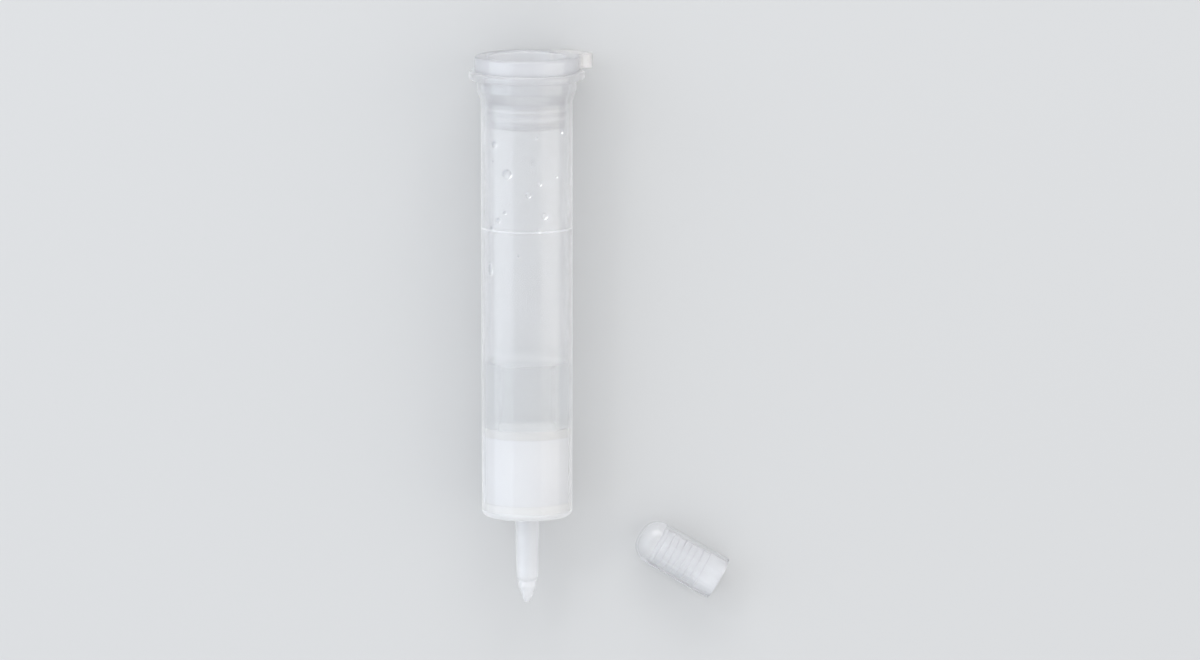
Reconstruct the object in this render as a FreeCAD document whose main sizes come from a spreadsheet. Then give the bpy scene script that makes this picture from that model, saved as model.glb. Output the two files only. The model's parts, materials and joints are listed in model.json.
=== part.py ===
import FreeCAD, Part
import math
import os
import Sketcher

# A small gravity flow column, closed with its lid and lying on a flat surface,
# with the loose cap for its outlet beside it. Sizes are millimetres.
# Every piece of the column is drawn upright: the underside of the barrel is at
# height zero, the lid is above it, and the outlet hangs below it.

full_turn = 360
quarter_turn = 90
touching = 1e-6

driving_sizes = {
    # barrel
    "bore_radius": 7.25,
    "wall": 1.0,
    "foot_wall": 0.925,
    "barrel_length": 80.9,
    "floor_thickness": 1.0,
    "foot_rounding": 1.0,
    "flange_radius": 10.4,
    "flange_thickness": 1.4,
    "flange_rounding": 0.35,
    "mouth_radius": 7.9,
    "mouth_depth": 3.4,
    "flare_height": 2.0,
    "flare_rounding": 2.0,
    "ring_line_depth": 28.1,
    "ring_line_height": 0.3,
    "ring_line_land": 0.1,
    "ring_line_proud": 0.04,
    # outlet, moulded with the barrel and closed by a tip that snaps off
    "outlet_root_radius": 2.2,
    "outlet_end_radius": 1.92,
    "outlet_length": 11.6,
    "outlet_root_rounding": 0.6,
    "channel_radius": 0.9,
    "channel_end_wall": 0.4,
    "snap_line_height": 0.25,
    "tip_radius": 1.6,
    "tip_length": 4.4,
    "tip_cone_length": 2.8,
    "tip_end_radius": 0.5,
    # what the barrel holds
    "lower_frit_thickness": 1.6,
    "upper_frit_thickness": 1.6,
    "bed_height": 12.1,
    "solution_height": 11.3,
    "meniscus_rise": 0.6,
    "content_gap": 0.02,
    # lid
    "lid_radius": 9.4,
    "lid_thickness": 2.7,
    "lid_rounding": 0.35,
    "lid_seat_gap": 0.02,
    "plug_depth": 10.0,
    "mouth_plug_gap": 0.1,
    "bore_plug_gap": 0.25,
    "seal_gap": 0.04,
    "seal_depth": 6.6,
    "seal_pitch": 1.5,
    "seal_height": 0.9,
    "seal_land": 0.3,
    "plug_lead": 0.4,
    "mouth_plug_wall": 0.6,
    "bore_plug_wall": 0.8,
    "plug_floor": 1.0,
    "tab_reach": 12.8,
    "tab_width": 8.0,
    "tab_corner": 1.6,
    "tab_root_rounding": 1.2,
    # loose cap for the outlet
    "cap_length": 16.5,
    "cap_mouth_radius": 4.1,
    "cap_nose_radius": 3.95,
    "cap_nose_rounding": 3.2,
    "cap_flat_distance": 3.75,
    "cap_flats": 6,
    "cap_bore_radius": 2.3,
    "cap_bore_depth": 13.0,
    "cap_entry_radius": 2.7,
    "cap_entry_depth": 3.5,
    "cap_ring_depth": 0.2,
    "cap_ring_height": 0.4,
    "cap_ring_pitch": 1.2,
    "cap_rings": 7,
    "cap_side_distance": 34.7,
    "cap_along_distance": -12.4,
    "cap_yaw": 330.0,
    # how the pieces rest
    "rest_gap": 0.02,
}

doc = FreeCAD.newDocument("GravityColumn")
sheet = doc.addObject("Spreadsheet::Sheet", "size")
for row, (word, number) in enumerate(driving_sizes.items(), start=1):
    sheet.set("A%d" % row, word)
    sheet.set("B%d" % row, str(number))
    sheet.setAlias("B%d" % row, word)
doc.recompute()


def value(expression):
    return float(sheet.evalExpression(expression))


def total(*words):
    return " + ".join("size." + word for word in words)


# Heights and radii that follow from the driving sizes.
outer_radius = "(%s)" % total("bore_radius", "wall")
foot_radius = "(%s)" % total("bore_radius", "foot_wall")
neck_radius = "(%s)" % total("mouth_radius", "wall")
flange_underside = "(size.barrel_length - size.flange_thickness)"
flare_top = "(size.barrel_length - size.mouth_depth)"
flare_foot = "(size.barrel_length - size.mouth_depth - size.flare_height)"
ring_line_top = "(size.barrel_length - size.ring_line_depth)"
ring_line_foot = "(%s - size.ring_line_height)" % ring_line_top
content_radius = "(size.bore_radius - size.content_gap)"
lid_underside = "(%s)" % total("barrel_length", "lid_seat_gap")
lid_top = "(%s)" % total("barrel_length", "lid_seat_gap", "lid_thickness")
plug_end = "(%s - size.plug_depth)" % lid_underside


def own_plane(body, role):
    return next(item for item in body.Origin.OriginFeatures if item.Role == role)


def new_body(name):
    body = doc.addObject("PartDesign::Body", name)
    body.Label = name
    return body


def new_sketch(body, name, role, height=None):
    sketch = body.newObject("Sketcher::SketchObject", name)
    sketch.AttachmentSupport = [(own_plane(body, role), "")]
    sketch.MapMode = "FlatFace"
    if height:
        sketch.setExpression("AttachmentOffset.Base.z", height)
    return sketch


# A closed outline whose corners are tied to the sheet. A corner is a pair of
# expressions, across and up, and "0" keeps it on the sketch's own axis.
def outline(sketch, corners):
    places = [(value(across), value(up)) for across, up in corners]
    count = len(corners)
    for index in range(count):
        here = FreeCAD.Vector(*places[index], 0)
        there = FreeCAD.Vector(*places[(index + 1) % count], 0)
        sketch.addGeometry(Part.LineSegment(here, there), False)
    for index in range(count):
        sketch.addConstraint(Sketcher.Constraint("Coincident", index, 2, (index + 1) % count, 1))
    for index, corner in enumerate(corners):
        for direction, kind, axis in ((0, "DistanceX", -2), (1, "DistanceY", -1)):
            if corner[direction] == "0":
                sketch.addConstraint(Sketcher.Constraint("PointOnObject", index, 1, axis))
                continue
            distance = places[index][direction]
            tie = sketch.addConstraint(Sketcher.Constraint(kind, -1, 1, index, 1, distance))
            sketch.setExpression("Constraints[%d]" % tie, corner[direction])


def turned(body, name, corners, kind="Revolution"):
    sketch = new_sketch(body, name + "Outline", "XZ_Plane")
    outline(sketch, corners)
    feature = body.newObject("PartDesign::" + kind, name)
    feature.Profile = sketch
    feature.ReferenceAxis = (sketch, ["V_Axis"])
    feature.Angle = full_turn
    doc.recompute()
    return feature


def rounded(body, name, edges, radius):
    base = body.Tip
    fillet = body.newObject("PartDesign::Fillet", name)
    fillet.Base = (base, edges)
    fillet.setExpression("Radius", radius)
    doc.recompute()
    return fillet


# Names of the edges of a body that pass a test.
def edges_where(body, test):
    return ["Edge%d" % number for number, edge in enumerate(body.Shape.Edges, 1) if test(edge)]


def ring_edges(body, radius, height):
    wanted_radius = value(radius)
    wanted_height = value(height)

    def is_ring(edge):
        if not isinstance(edge.Curve, Part.Circle):
            return False
        if abs(edge.Curve.Radius - wanted_radius) > touching:
            return False
        return abs(edge.Curve.Center.z - wanted_height) < touching

    return edges_where(body, is_ring)


def edges_at_height(body, height, clear_of):
    level = value(height)
    inner = value(clear_of)

    def lies_there(edge):
        box = edge.BoundBox
        reach = max(abs(box.XMin), abs(box.XMax), abs(box.YMin), abs(box.YMax))
        flat = abs(box.ZMin - level) < touching and abs(box.ZMax - level) < touching
        return flat and reach > inner + touching

    return edges_where(body, lies_there)


# Barrel with flange and outlet in one moulding.
def make_barrel():
    body = new_body("barrel")
    outlet_end = "-size.outlet_length"
    snap_line = "-(%s)" % total("outlet_length", "snap_line_height")
    tip_end = "-(%s)" % total("outlet_length", "tip_length")
    proud = outer_radius + " + size.ring_line_proud"
    ring_line_middle = ring_line_top + " - size.ring_line_height / 2"
    turned(body, "Moulding", [
        ("0", tip_end),
        ("size.tip_end_radius", tip_end),
        ("size.tip_radius", tip_end + " + size.tip_cone_length"),
        ("size.tip_radius", snap_line),
        ("size.outlet_end_radius", outlet_end),
        ("size.outlet_root_radius", "0"),
        (foot_radius, "0"),
        (outer_radius, ring_line_foot),
        (proud, ring_line_middle + " - size.ring_line_land / 2"),
        (proud, ring_line_middle + " + size.ring_line_land / 2"),
        (outer_radius, ring_line_top),
        (outer_radius, flare_foot),
        (neck_radius, flare_top),
        (neck_radius, flange_underside),
        ("size.flange_radius", flange_underside),
        ("size.flange_radius", "size.barrel_length"),
        ("0", "size.barrel_length"),
    ])
    rounded(body, "FootRounding", ring_edges(body, foot_radius, "0"), "size.foot_rounding")
    rounded(body, "OutletRoot", ring_edges(body, "size.outlet_root_radius", "0"),
            "size.outlet_root_rounding")
    rounded(body, "TipEnd", ring_edges(body, "size.tip_end_radius", tip_end),
            "size.tip_end_radius / 2")
    rounded(body, "FlareFoot", ring_edges(body, outer_radius, flare_foot), "size.flare_rounding")
    rounded(body, "FlareTop", ring_edges(body, neck_radius, flare_top), "size.flare_rounding")
    for name, height in (("FlangeLip", flange_underside), ("FlangeTop", "size.barrel_length")):
        rounded(body, name, ring_edges(body, "size.flange_radius", height), "size.flange_rounding")
    turned(body, "Bore", [
        ("0", "size.floor_thickness"),
        ("size.bore_radius", "size.floor_thickness"),
        ("size.bore_radius", flare_foot),
        ("size.mouth_radius", flare_top),
        ("size.mouth_radius", "size.barrel_length"),
        ("0", "size.barrel_length"),
    ], "Groove")
    turned(body, "Channel", [
        ("0", outlet_end + " + size.channel_end_wall"),
        ("size.channel_radius", outlet_end + " + size.channel_end_wall"),
        ("size.channel_radius", "size.floor_thickness"),
        ("0", "size.floor_thickness"),
    ], "Groove")
    return body


# Upright edges on the sides of the tab, between two distances from the axis.
def tab_side_edges(body, nearest, furthest):
    side = value("size.tab_width / 2")
    low = value(nearest)
    high = value(furthest)

    def lies_there(edge):
        box = edge.BoundBox
        upright = box.ZLength > touching and math.hypot(box.XLength, box.YLength) < touching
        on_side = abs(abs(box.Center.y) - side) < touching
        return upright and on_side and low < box.Center.x < high

    return edges_where(body, lies_there)


# Lid: a disc with a lift tab, and a hollow plug with two sealing rings.
def make_lid():
    body = new_body("top_cap")
    mouth_plug = "(size.mouth_radius - size.mouth_plug_gap)"
    bore_plug = "(size.bore_radius - size.bore_plug_gap)"
    seal = "(size.bore_radius - size.seal_gap)"
    corners = [
        ("0", plug_end),
        (bore_plug + " - size.plug_lead", plug_end),
        (bore_plug, plug_end + " + size.plug_lead"),
    ]
    first_seal = "(size.barrel_length - size.seal_depth)"
    for middle in (first_seal + " - size.seal_pitch", first_seal):
        corners += [
            (bore_plug, middle + " - size.seal_height / 2"),
            (seal, middle + " - size.seal_land / 2"),
            (seal, middle + " + size.seal_land / 2"),
            (bore_plug, middle + " + size.seal_height / 2"),
        ]
    corners += [
        (bore_plug, flare_foot),
        (mouth_plug, flare_top),
        (mouth_plug, lid_underside),
        ("size.lid_radius", lid_underside),
        ("size.lid_radius", lid_top),
        ("0", lid_top),
    ]
    turned(body, "DiscAndPlug", corners)
    sketch = new_sketch(body, "TabOutline", "XY_Plane", lid_underside)
    outline(sketch, [
        ("0", "-size.tab_width / 2"),
        ("size.tab_reach", "-size.tab_width / 2"),
        ("size.tab_reach", "size.tab_width / 2"),
        ("0", "size.tab_width / 2"),
    ])
    tab = body.newObject("PartDesign::Pad", "Tab")
    tab.Profile = sketch
    tab.setExpression("Length", "size.lid_thickness")
    doc.recompute()
    rounded(body, "TabRoots", tab_side_edges(body, "0", "size.lid_radius"),
            "size.tab_root_rounding")
    rounded(body, "TabCorners", tab_side_edges(body, "size.tab_reach - size.tab_corner",
                                               "size.tab_reach + size.tab_corner"),
            "size.tab_corner")
    rounded(body, "LidTopEdge", edges_at_height(body, lid_top, "0"), "size.lid_rounding")
    rounded(body, "LidLowerEdge", edges_at_height(body, lid_underside, mouth_plug),
            "size.lid_rounding / 2")
    cup_radius = "(%s - size.mouth_plug_wall)" % mouth_plug
    turned(body, "CupHollow", [
        ("0", plug_end + " + size.plug_floor"),
        (bore_plug + " - size.bore_plug_wall", plug_end + " + size.plug_floor"),
        (bore_plug + " - size.bore_plug_wall", flare_foot),
        (cup_radius, flare_top),
        (cup_radius, lid_top),
        ("0", lid_top),
    ], "Groove")
    rounded(body, "CupMouth", ring_edges(body, cup_radius, lid_top), "size.lid_rounding")
    return body


def make_disc(name, thickness):
    disc = doc.addObject("Part::Cylinder", name)
    disc.Label = name
    disc.setExpression("Radius", content_radius)
    disc.setExpression("Height", thickness)
    return disc


# Liquid over the bed, with a hollow top where it climbs the wall.
def make_solution():
    filling = make_disc("SolutionFilling", total("solution_height", "meniscus_rise"))
    curve = "((%s ^ 2 + size.meniscus_rise ^ 2) / (2 * size.meniscus_rise))" % content_radius
    ball = doc.addObject("Part::Sphere", "MeniscusCurve")
    ball.setExpression("Radius", curve)
    ball.setExpression("Placement.Base.z", "size.solution_height + " + curve)
    solution = doc.addObject("Part::Cut", "storage_solution")
    solution.Base = filling
    solution.Tool = ball
    solution.Label = "storage_solution"
    return solution


# Loose cap for the outlet: a bullet with flats, bored from its mouth.
# It is drawn with its mouth at height zero and its nose above.
def make_outlet_cap():
    body = new_body("bottom_cap")
    turned(body, "Bullet", [
        ("0", "0"),
        ("size.cap_mouth_radius", "0"),
        ("size.cap_nose_radius", "size.cap_length"),
        ("0", "size.cap_length"),
    ])
    rounded(body, "Nose", ring_edges(body, "size.cap_nose_radius", "size.cap_length"),
            "size.cap_nose_rounding")
    sketch = new_sketch(body, "FlatOutline", "XY_Plane")
    outline(sketch, [
        ("size.cap_flat_distance", "-size.cap_mouth_radius"),
        ("size.cap_flat_distance + size.cap_mouth_radius", "-size.cap_mouth_radius"),
        ("size.cap_flat_distance + size.cap_mouth_radius", "size.cap_mouth_radius"),
        ("size.cap_flat_distance", "size.cap_mouth_radius"),
    ])
    flat = body.newObject("PartDesign::Pocket", "Flat")
    flat.Profile = sketch
    flat.Reversed = True
    flat.setExpression("Length", "size.cap_length")
    doc.recompute()
    flats = body.newObject("PartDesign::PolarPattern", "Flats")
    flats.Originals = [flat]
    flats.Axis = (sketch, ["N_Axis"])
    flats.Angle = full_turn
    flats.setExpression("Occurrences", "size.cap_flats")
    body.Tip = flats
    doc.recompute()
    turned(body, "CapBore", [
        ("0", "0"),
        ("size.cap_entry_radius", "0"),
        ("size.cap_entry_radius", "size.cap_entry_depth"),
        ("size.cap_bore_radius", "size.cap_entry_depth"),
        ("size.cap_bore_radius", "size.cap_bore_depth"),
        ("0", "size.cap_bore_depth"),
    ], "Groove")
    ring_foot = "(%s)" % total("cap_entry_depth", "cap_ring_pitch")
    ring = turned(body, "BoreRing", [
        ("size.cap_bore_radius", ring_foot),
        ("size.cap_bore_radius + size.cap_ring_depth", ring_foot + " + size.cap_ring_height / 2"),
        ("size.cap_bore_radius", ring_foot + " + size.cap_ring_height"),
    ], "Groove")
    rings = body.newObject("PartDesign::LinearPattern", "BoreRings")
    rings.Originals = [ring]
    rings.Direction = (ring.Profile[0], ["V_Axis"])
    rings.setExpression("Length", "size.cap_ring_pitch * (size.cap_rings - 1)")
    rings.setExpression("Occurrences", "size.cap_rings")
    body.Tip = rings
    doc.recompute()
    return body


# The closed column lies on the lip of its flange and on the rounded foot of the
# barrel, and has rolled until a corner of the lift tab meets the surface.
def column_rest():
    foot_round = value("size.foot_rounding")
    lip_round = value("size.flange_rounding")
    foot_out = value(foot_radius) - foot_round
    foot_up = foot_round
    lip_out = value("size.flange_radius") - lip_round
    lip_up = value(flange_underside) + lip_round
    span = math.hypot(lip_up - foot_up, lip_out - foot_out)
    tilt = math.atan2(lip_out - foot_out, lip_up - foot_up)
    tilt += math.asin((lip_round - foot_round) / span)
    rest_gap = value("size.rest_gap")
    axis_height = foot_out * math.cos(tilt) + foot_round - foot_up * math.sin(tilt) + rest_gap
    tab_level = value(lid_underside)
    surface_distance = (axis_height + tab_level * math.sin(tilt)) / math.cos(tilt)
    corner = value("size.tab_corner")
    corner_out = value("size.tab_reach") - corner
    corner_side = value("size.tab_width / 2") - corner
    from_down = math.acos((surface_distance - corner - rest_gap)
                          / math.hypot(corner_out, corner_side))
    from_down += math.atan2(corner_side, corner_out)
    roll = math.radians(quarter_turn) - from_down
    about_x = FreeCAD.Rotation(FreeCAD.Vector(1, 0, 0), math.degrees(tilt) - quarter_turn)
    about_own_axis = FreeCAD.Rotation(FreeCAD.Vector(0, 0, 1), math.degrees(roll))
    return FreeCAD.Placement(FreeCAD.Vector(0, 0, axis_height), about_x * about_own_axis)


# The loose cap lies on one of its flats, to the right of the outlet.
def cap_rest():
    across = value("size.cap_side_distance")
    along = value("size.cap_along_distance")
    turn_flat_down = FreeCAD.Rotation(FreeCAD.Vector(0, 1, 0), -quarter_turn)
    yaw = FreeCAD.Rotation(FreeCAD.Vector(0, 0, 1), value("size.cap_yaw"))
    height = value("size.cap_flat_distance")
    return FreeCAD.Placement(FreeCAD.Vector(across, along, height), yaw * turn_flat_down)


frit_top = total("floor_thickness", "lower_frit_thickness")
bed_top = total("floor_thickness", "lower_frit_thickness", "bed_height")
stack_top = total("floor_thickness", "lower_frit_thickness", "bed_height", "upper_frit_thickness")

# Each piece of the column with the height at which its own drawing starts.
column_pieces = [
    (make_barrel(), "0"),
    (make_lid(), "0"),
    (make_disc("lower_frit", "size.lower_frit_thickness"), "size.floor_thickness"),
    (make_disc("resin_bed", "size.bed_height"), frit_top),
    (make_disc("upper_frit", "size.upper_frit_thickness"), bed_top),
    (make_solution(), stack_top),
]
outlet_cap = make_outlet_cap()
doc.recompute()

lying = column_rest()
for piece, foot in column_pieces:
    lift = FreeCAD.Placement(FreeCAD.Vector(0, 0, value(foot)), FreeCAD.Rotation())
    piece.Placement = lying * lift
outlet_cap.Placement = cap_rest()
doc.recompute()

# The origin is under the middle of everything, on the surface.
pieces = [piece for piece, foot in column_pieces] + [outlet_cap]
whole = FreeCAD.BoundBox()
for piece in pieces:
    whole.add(piece.Shape.optimalBoundingBox(False))
to_origin = FreeCAD.Placement(
    FreeCAD.Vector(-whole.Center.x, -whole.Center.y, 0), FreeCAD.Rotation())
for piece in pieces:
    piece.Placement = to_origin * piece.Placement
doc.recompute()

for item in doc.Objects:
    if "Invalid" in item.State or "Error" in item.State:
        raise RuntimeError("%s failed: %s" % (item.Name, item.State))
for piece in pieces:
    shape = piece.Shape
    if shape.isNull() or not shape.isValid() or len(shape.Solids) != 1:
        raise RuntimeError("%s is not one good solid" % piece.Label)

os.makedirs("parts", exist_ok=True)
for piece in pieces:
    piece.Shape.exportStep("parts/%s.step" % piece.Label)
    print(piece.Label, round(piece.Shape.Volume, 2), "cubic millimetres")
print("column placement", pieces[0].Placement, "cap placement", outlet_cap.Placement)
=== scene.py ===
import bpy
import json
import math
from mathutils import Euler, Matrix, Vector


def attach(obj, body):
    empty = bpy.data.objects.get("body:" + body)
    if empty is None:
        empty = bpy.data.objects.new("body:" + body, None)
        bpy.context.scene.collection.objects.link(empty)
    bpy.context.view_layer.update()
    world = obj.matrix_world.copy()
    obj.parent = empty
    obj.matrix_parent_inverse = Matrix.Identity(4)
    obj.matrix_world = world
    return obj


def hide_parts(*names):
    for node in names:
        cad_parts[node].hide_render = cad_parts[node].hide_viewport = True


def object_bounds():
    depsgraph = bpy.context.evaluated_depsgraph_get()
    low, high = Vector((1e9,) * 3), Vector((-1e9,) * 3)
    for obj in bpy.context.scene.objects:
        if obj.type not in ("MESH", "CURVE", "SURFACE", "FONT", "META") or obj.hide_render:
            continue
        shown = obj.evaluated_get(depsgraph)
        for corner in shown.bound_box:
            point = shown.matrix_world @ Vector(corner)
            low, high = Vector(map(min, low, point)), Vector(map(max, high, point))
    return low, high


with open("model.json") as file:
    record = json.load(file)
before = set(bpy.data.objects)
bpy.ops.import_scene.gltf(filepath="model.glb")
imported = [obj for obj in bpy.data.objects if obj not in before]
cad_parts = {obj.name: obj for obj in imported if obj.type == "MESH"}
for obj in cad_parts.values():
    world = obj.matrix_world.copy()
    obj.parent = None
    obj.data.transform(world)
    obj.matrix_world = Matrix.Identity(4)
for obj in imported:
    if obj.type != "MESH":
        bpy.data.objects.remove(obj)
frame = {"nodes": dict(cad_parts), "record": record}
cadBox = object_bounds()

# Sizes are in millimetres unless a name says otherwise. Every piece of the column is drawn
# upright round the Z axis, the underside of its barrel at height zero, and laid down when done.
mm = 0.001
closeUp = 1e-5

# Tests of faces: how near to a surface counts as on it, and the least upward lean of a normal.
onSurface = 0.01
facesUp = 0.9

mounts = {mount["name"]: mount for mount in frame["record"]["mounts"]}
outletPoint = {"mount": "outlet", "belowFoot": 5.8}

columnAxis = -Vector(mounts["rack_barrel"]["axis"]).normalized()
outletPlace = Vector(mounts[outletPoint["mount"]]["pos_m"])
columnFoot = outletPlace + columnAxis * outletPoint["belowFoot"] * mm


# Upright drawing to lying column: its X stays the row's X, and its front faces up.
def lyingMatrix():
    right = Vector((1, 0, 0))
    back = columnAxis.cross(right)
    turn = Matrix((right, back, columnAxis)).transposed()
    return Matrix.Translation(columnFoot) @ turn.to_4x4()


lying = lyingMatrix()


# Where the lift tab points in the upright drawing, found on the solid lid.
def tabTurn(furtherThan):
    upright = lying.inverted()
    reach = Vector((0, 0, 0))
    for vertex in frame["nodes"]["top_cap"].data.vertices:
        spot = upright @ vertex.co
        if math.hypot(spot.x, spot.y) > furtherThan * mm:
            reach += Vector((spot.x, spot.y, 0))
    return math.atan2(reach.y, reach.x)


# Modelling helpers

def startFresh():
    if bpy.context.object and bpy.context.object.mode != "OBJECT":
        bpy.ops.object.mode_set(mode="OBJECT")
    bpy.ops.object.select_all(action="DESELECT")


def only(piece):
    startFresh()
    piece.select_set(True)
    bpy.context.view_layer.objects.active = piece


# Corners are (radius, height, rounding). A rounded corner becomes a short arc, and a long
# straight gets a ring near each end, so that its shading stays flat.
def softOutline(corners, arcSteps=4, support=0.15, longStraight=1.0):
    spots = []
    for index, (across, up, rounding) in enumerate(corners):
        here = Vector((across, up))
        if not rounding or index in (0, len(corners) - 1):
            spots.append([here])
            continue
        before = Vector(corners[index - 1][:2]) - here
        after = Vector(corners[index + 1][:2]) - here
        halfAngle = before.angle(after) / 2
        setBack = rounding / math.tan(halfAngle)
        start = here + before.normalized() * setBack
        end = here + after.normalized() * setBack
        middle = (before.normalized() + after.normalized()).normalized()
        centre = here + middle * rounding / math.sin(halfAngle)
        arc = []
        for step in range(arcSteps + 1):
            way = start.lerp(end, step / arcSteps) - centre
            arc.append(centre + way.normalized() * rounding)
        spots.append(arc)
    points = []
    for index, spot in enumerate(spots):
        points.extend(spot)
        if index + 1 < len(spots):
            here, there = spot[-1], spots[index + 1][0]
            if (there - here).length > longStraight:
                along = (there - here).normalized() * support
                points.extend([here + along, there - along])
    return points


# Turns an outline round the Z axis by extruding and scaling one ring. An outline that starts
# or ends on the axis is closed there.
def turnPiece(name, outline, sides):
    startFresh()
    points = [point for point in outline if point.x > 0]
    capped = outline[0].x <= 0
    closed = outline[-1].x <= 0
    first = points[0]
    bpy.ops.mesh.primitive_circle_add(
        vertices=sides, radius=first.x * mm, location=(0, 0, 0),
        fill_type="TRIFAN" if capped else "NOTHING")
    piece = bpy.context.object
    piece.name = name
    piece.data.name = name
    bpy.ops.object.mode_set(mode="EDIT")
    bpy.ops.transform.translate(value=(0, 0, first.y * mm))
    if capped:
        bpy.ops.mesh.region_to_loop()
    for here, there in zip(points, points[1:]):
        bpy.ops.mesh.extrude_region_move(
            TRANSFORM_OT_translate={"value": (0, 0, (there.y - here.y) * mm)})
        grow = there.x / here.x
        if abs(grow - 1) > closeUp:
            bpy.ops.transform.resize(value=(grow, grow, 1), center_override=(0, 0, there.y * mm))
    if closed:
        bpy.ops.mesh.extrude_region_move()
        bpy.ops.mesh.merge(type="CENTER")
    bpy.ops.mesh.select_all(action="SELECT")
    bpy.ops.mesh.normals_make_consistent(inside=False)
    bpy.ops.object.mode_set(mode="OBJECT")
    return piece


def applyModifier(piece, kind, **settings):
    only(piece)
    modifier = piece.modifiers.new(kind.title(), kind)
    for setting, amount in settings.items():
        setattr(modifier, setting, amount)
    bpy.ops.object.modifier_apply(modifier=modifier.name)


def smooth(piece, degrees=32):
    only(piece)
    bpy.ops.object.shade_smooth_by_angle(angle=math.radians(degrees))


def layDown(piece, matrix):
    only(piece)
    piece.matrix_world = matrix @ piece.matrix_world
    bpy.ops.object.transform_apply(location=True, rotation=True, scale=True)
    lowest = min(vertex.co.z for vertex in piece.data.vertices) / mm
    print(f"{piece.name}: {len(piece.data.polygons)} faces, lowest point {lowest:.3f} mm")


def selectWhere(piece, mode, test):
    only(piece)
    bpy.ops.object.mode_set(mode="EDIT")
    bpy.ops.mesh.select_mode(type=mode)
    bpy.ops.mesh.select_all(action="DESELECT")
    bpy.ops.object.mode_set(mode="OBJECT")
    mesh = piece.data
    for item in {"FACE": mesh.polygons, "EDGE": mesh.edges, "VERT": mesh.vertices}[mode]:
        item.select = test(item)
    bpy.ops.object.mode_set(mode="EDIT")


# Gives each face one of the named materials. The test gets the face, its centre and how far
# that is from the axis, both in millimetres, and answers with a name.
def paintFaces(piece, materials, test):
    names = list(materials)
    for name in names:
        piece.data.materials.append(materials[name])
    for face in piece.data.polygons:
        centre = face.center / mm
        across = math.hypot(centre.x, centre.y)
        face.material_index = names.index(test(face, centre, across))


# Material helpers

def freshMaterial(name):
    material = bpy.data.materials.new(name)
    material.use_nodes = True
    tree = material.node_tree
    tree.nodes.clear()
    output = tree.nodes.new("ShaderNodeOutputMaterial")
    output.location = (900, 0)
    surface = tree.nodes.new("ShaderNodeBsdfPrincipled")
    surface.location = (600, 0)
    tree.links.new(surface.outputs["BSDF"], output.inputs["Surface"])
    return material, tree, surface


def addNode(tree, kind, place, **values):
    node = tree.nodes.new(kind)
    node.location = place
    for name, amount in values.items():
        if name in node.inputs:
            node.inputs[name].default_value = amount
        else:
            setattr(node, name, amount)
    return node


def setInputs(node, values):
    for name, amount in values.items():
        node.inputs[name].default_value = amount


# Object coordinates turned back to the upright drawing and read in millimetres.
def uprightCoordinates(tree, matrix):
    coordinates = addNode(tree, "ShaderNodeTexCoord", (-1300, 0))
    mapping = addNode(tree, "ShaderNodeMapping", (-1120, 0))
    back = matrix.inverted()
    setInputs(mapping, {
        "Location": back.translation / mm,
        "Rotation": back.to_euler(),
        "Scale": (1 / mm, 1 / mm, 1 / mm),
    })
    tree.links.new(coordinates.outputs["Object"], mapping.inputs["Vector"])
    return mapping.outputs["Vector"]


# A new node group with its sockets, its entry and its exit.
def newGroup(name, inputs, outputs):
    group = bpy.data.node_groups.new(name, "ShaderNodeTree")
    for label, kind, default in inputs:
        socket = group.interface.new_socket(name=label, in_out="INPUT", socket_type=kind)
        if default is not None:
            socket.default_value = default
    for label, kind in outputs:
        group.interface.new_socket(name=label, in_out="OUTPUT", socket_type=kind)
    entry = addNode(group, "NodeGroupInput", (-900, 0))
    leave = addNode(group, "NodeGroupOutput", (700, 0))
    return group, entry.outputs, leave.inputs, group.links.new


def mixColours(tree, place, mask, first, second):
    mix = addNode(tree, "ShaderNodeMix", place, data_type="RGBA")
    for socket, source in zip((mix.inputs[0], mix.inputs[6], mix.inputs[7]), (mask, first, second)):
        tree.links.new(source, socket)
    return mix.outputs[2]


def stretchRange(tree, place, source, low, high):
    stretched = addNode(tree, "ShaderNodeMapRange", place)
    setInputs(stretched, {"From Min": low, "From Max": high})
    tree.links.new(source, stretched.inputs["Value"])
    return stretched.outputs["Result"]


# Numbers of the two surface textures. A scale is in features per millimetre.
mouldedNoise = {
    "cloudDetail": 3.0, "cloudRoughness": 0.55,
    "flowStretch": (1.0, 1.0, 0.06), "flowScale": 1.1, "flowDetail": 2.0,
    "fineScale": 6.0, "fineDetail": 4.0, "fineShare": 0.12,
    "bumpDepth": 0.02, "sheenRoughness": 0.5,
}
grainNoise = {
    "patchDetail": 4.0, "patchRoughness": 0.6,
    "grainShare": 0.35, "darkFrom": 0.35, "darkTo": 0.95,
    "bumpDepth": 0.05, "scatterLength": 0.6,
}


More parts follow.
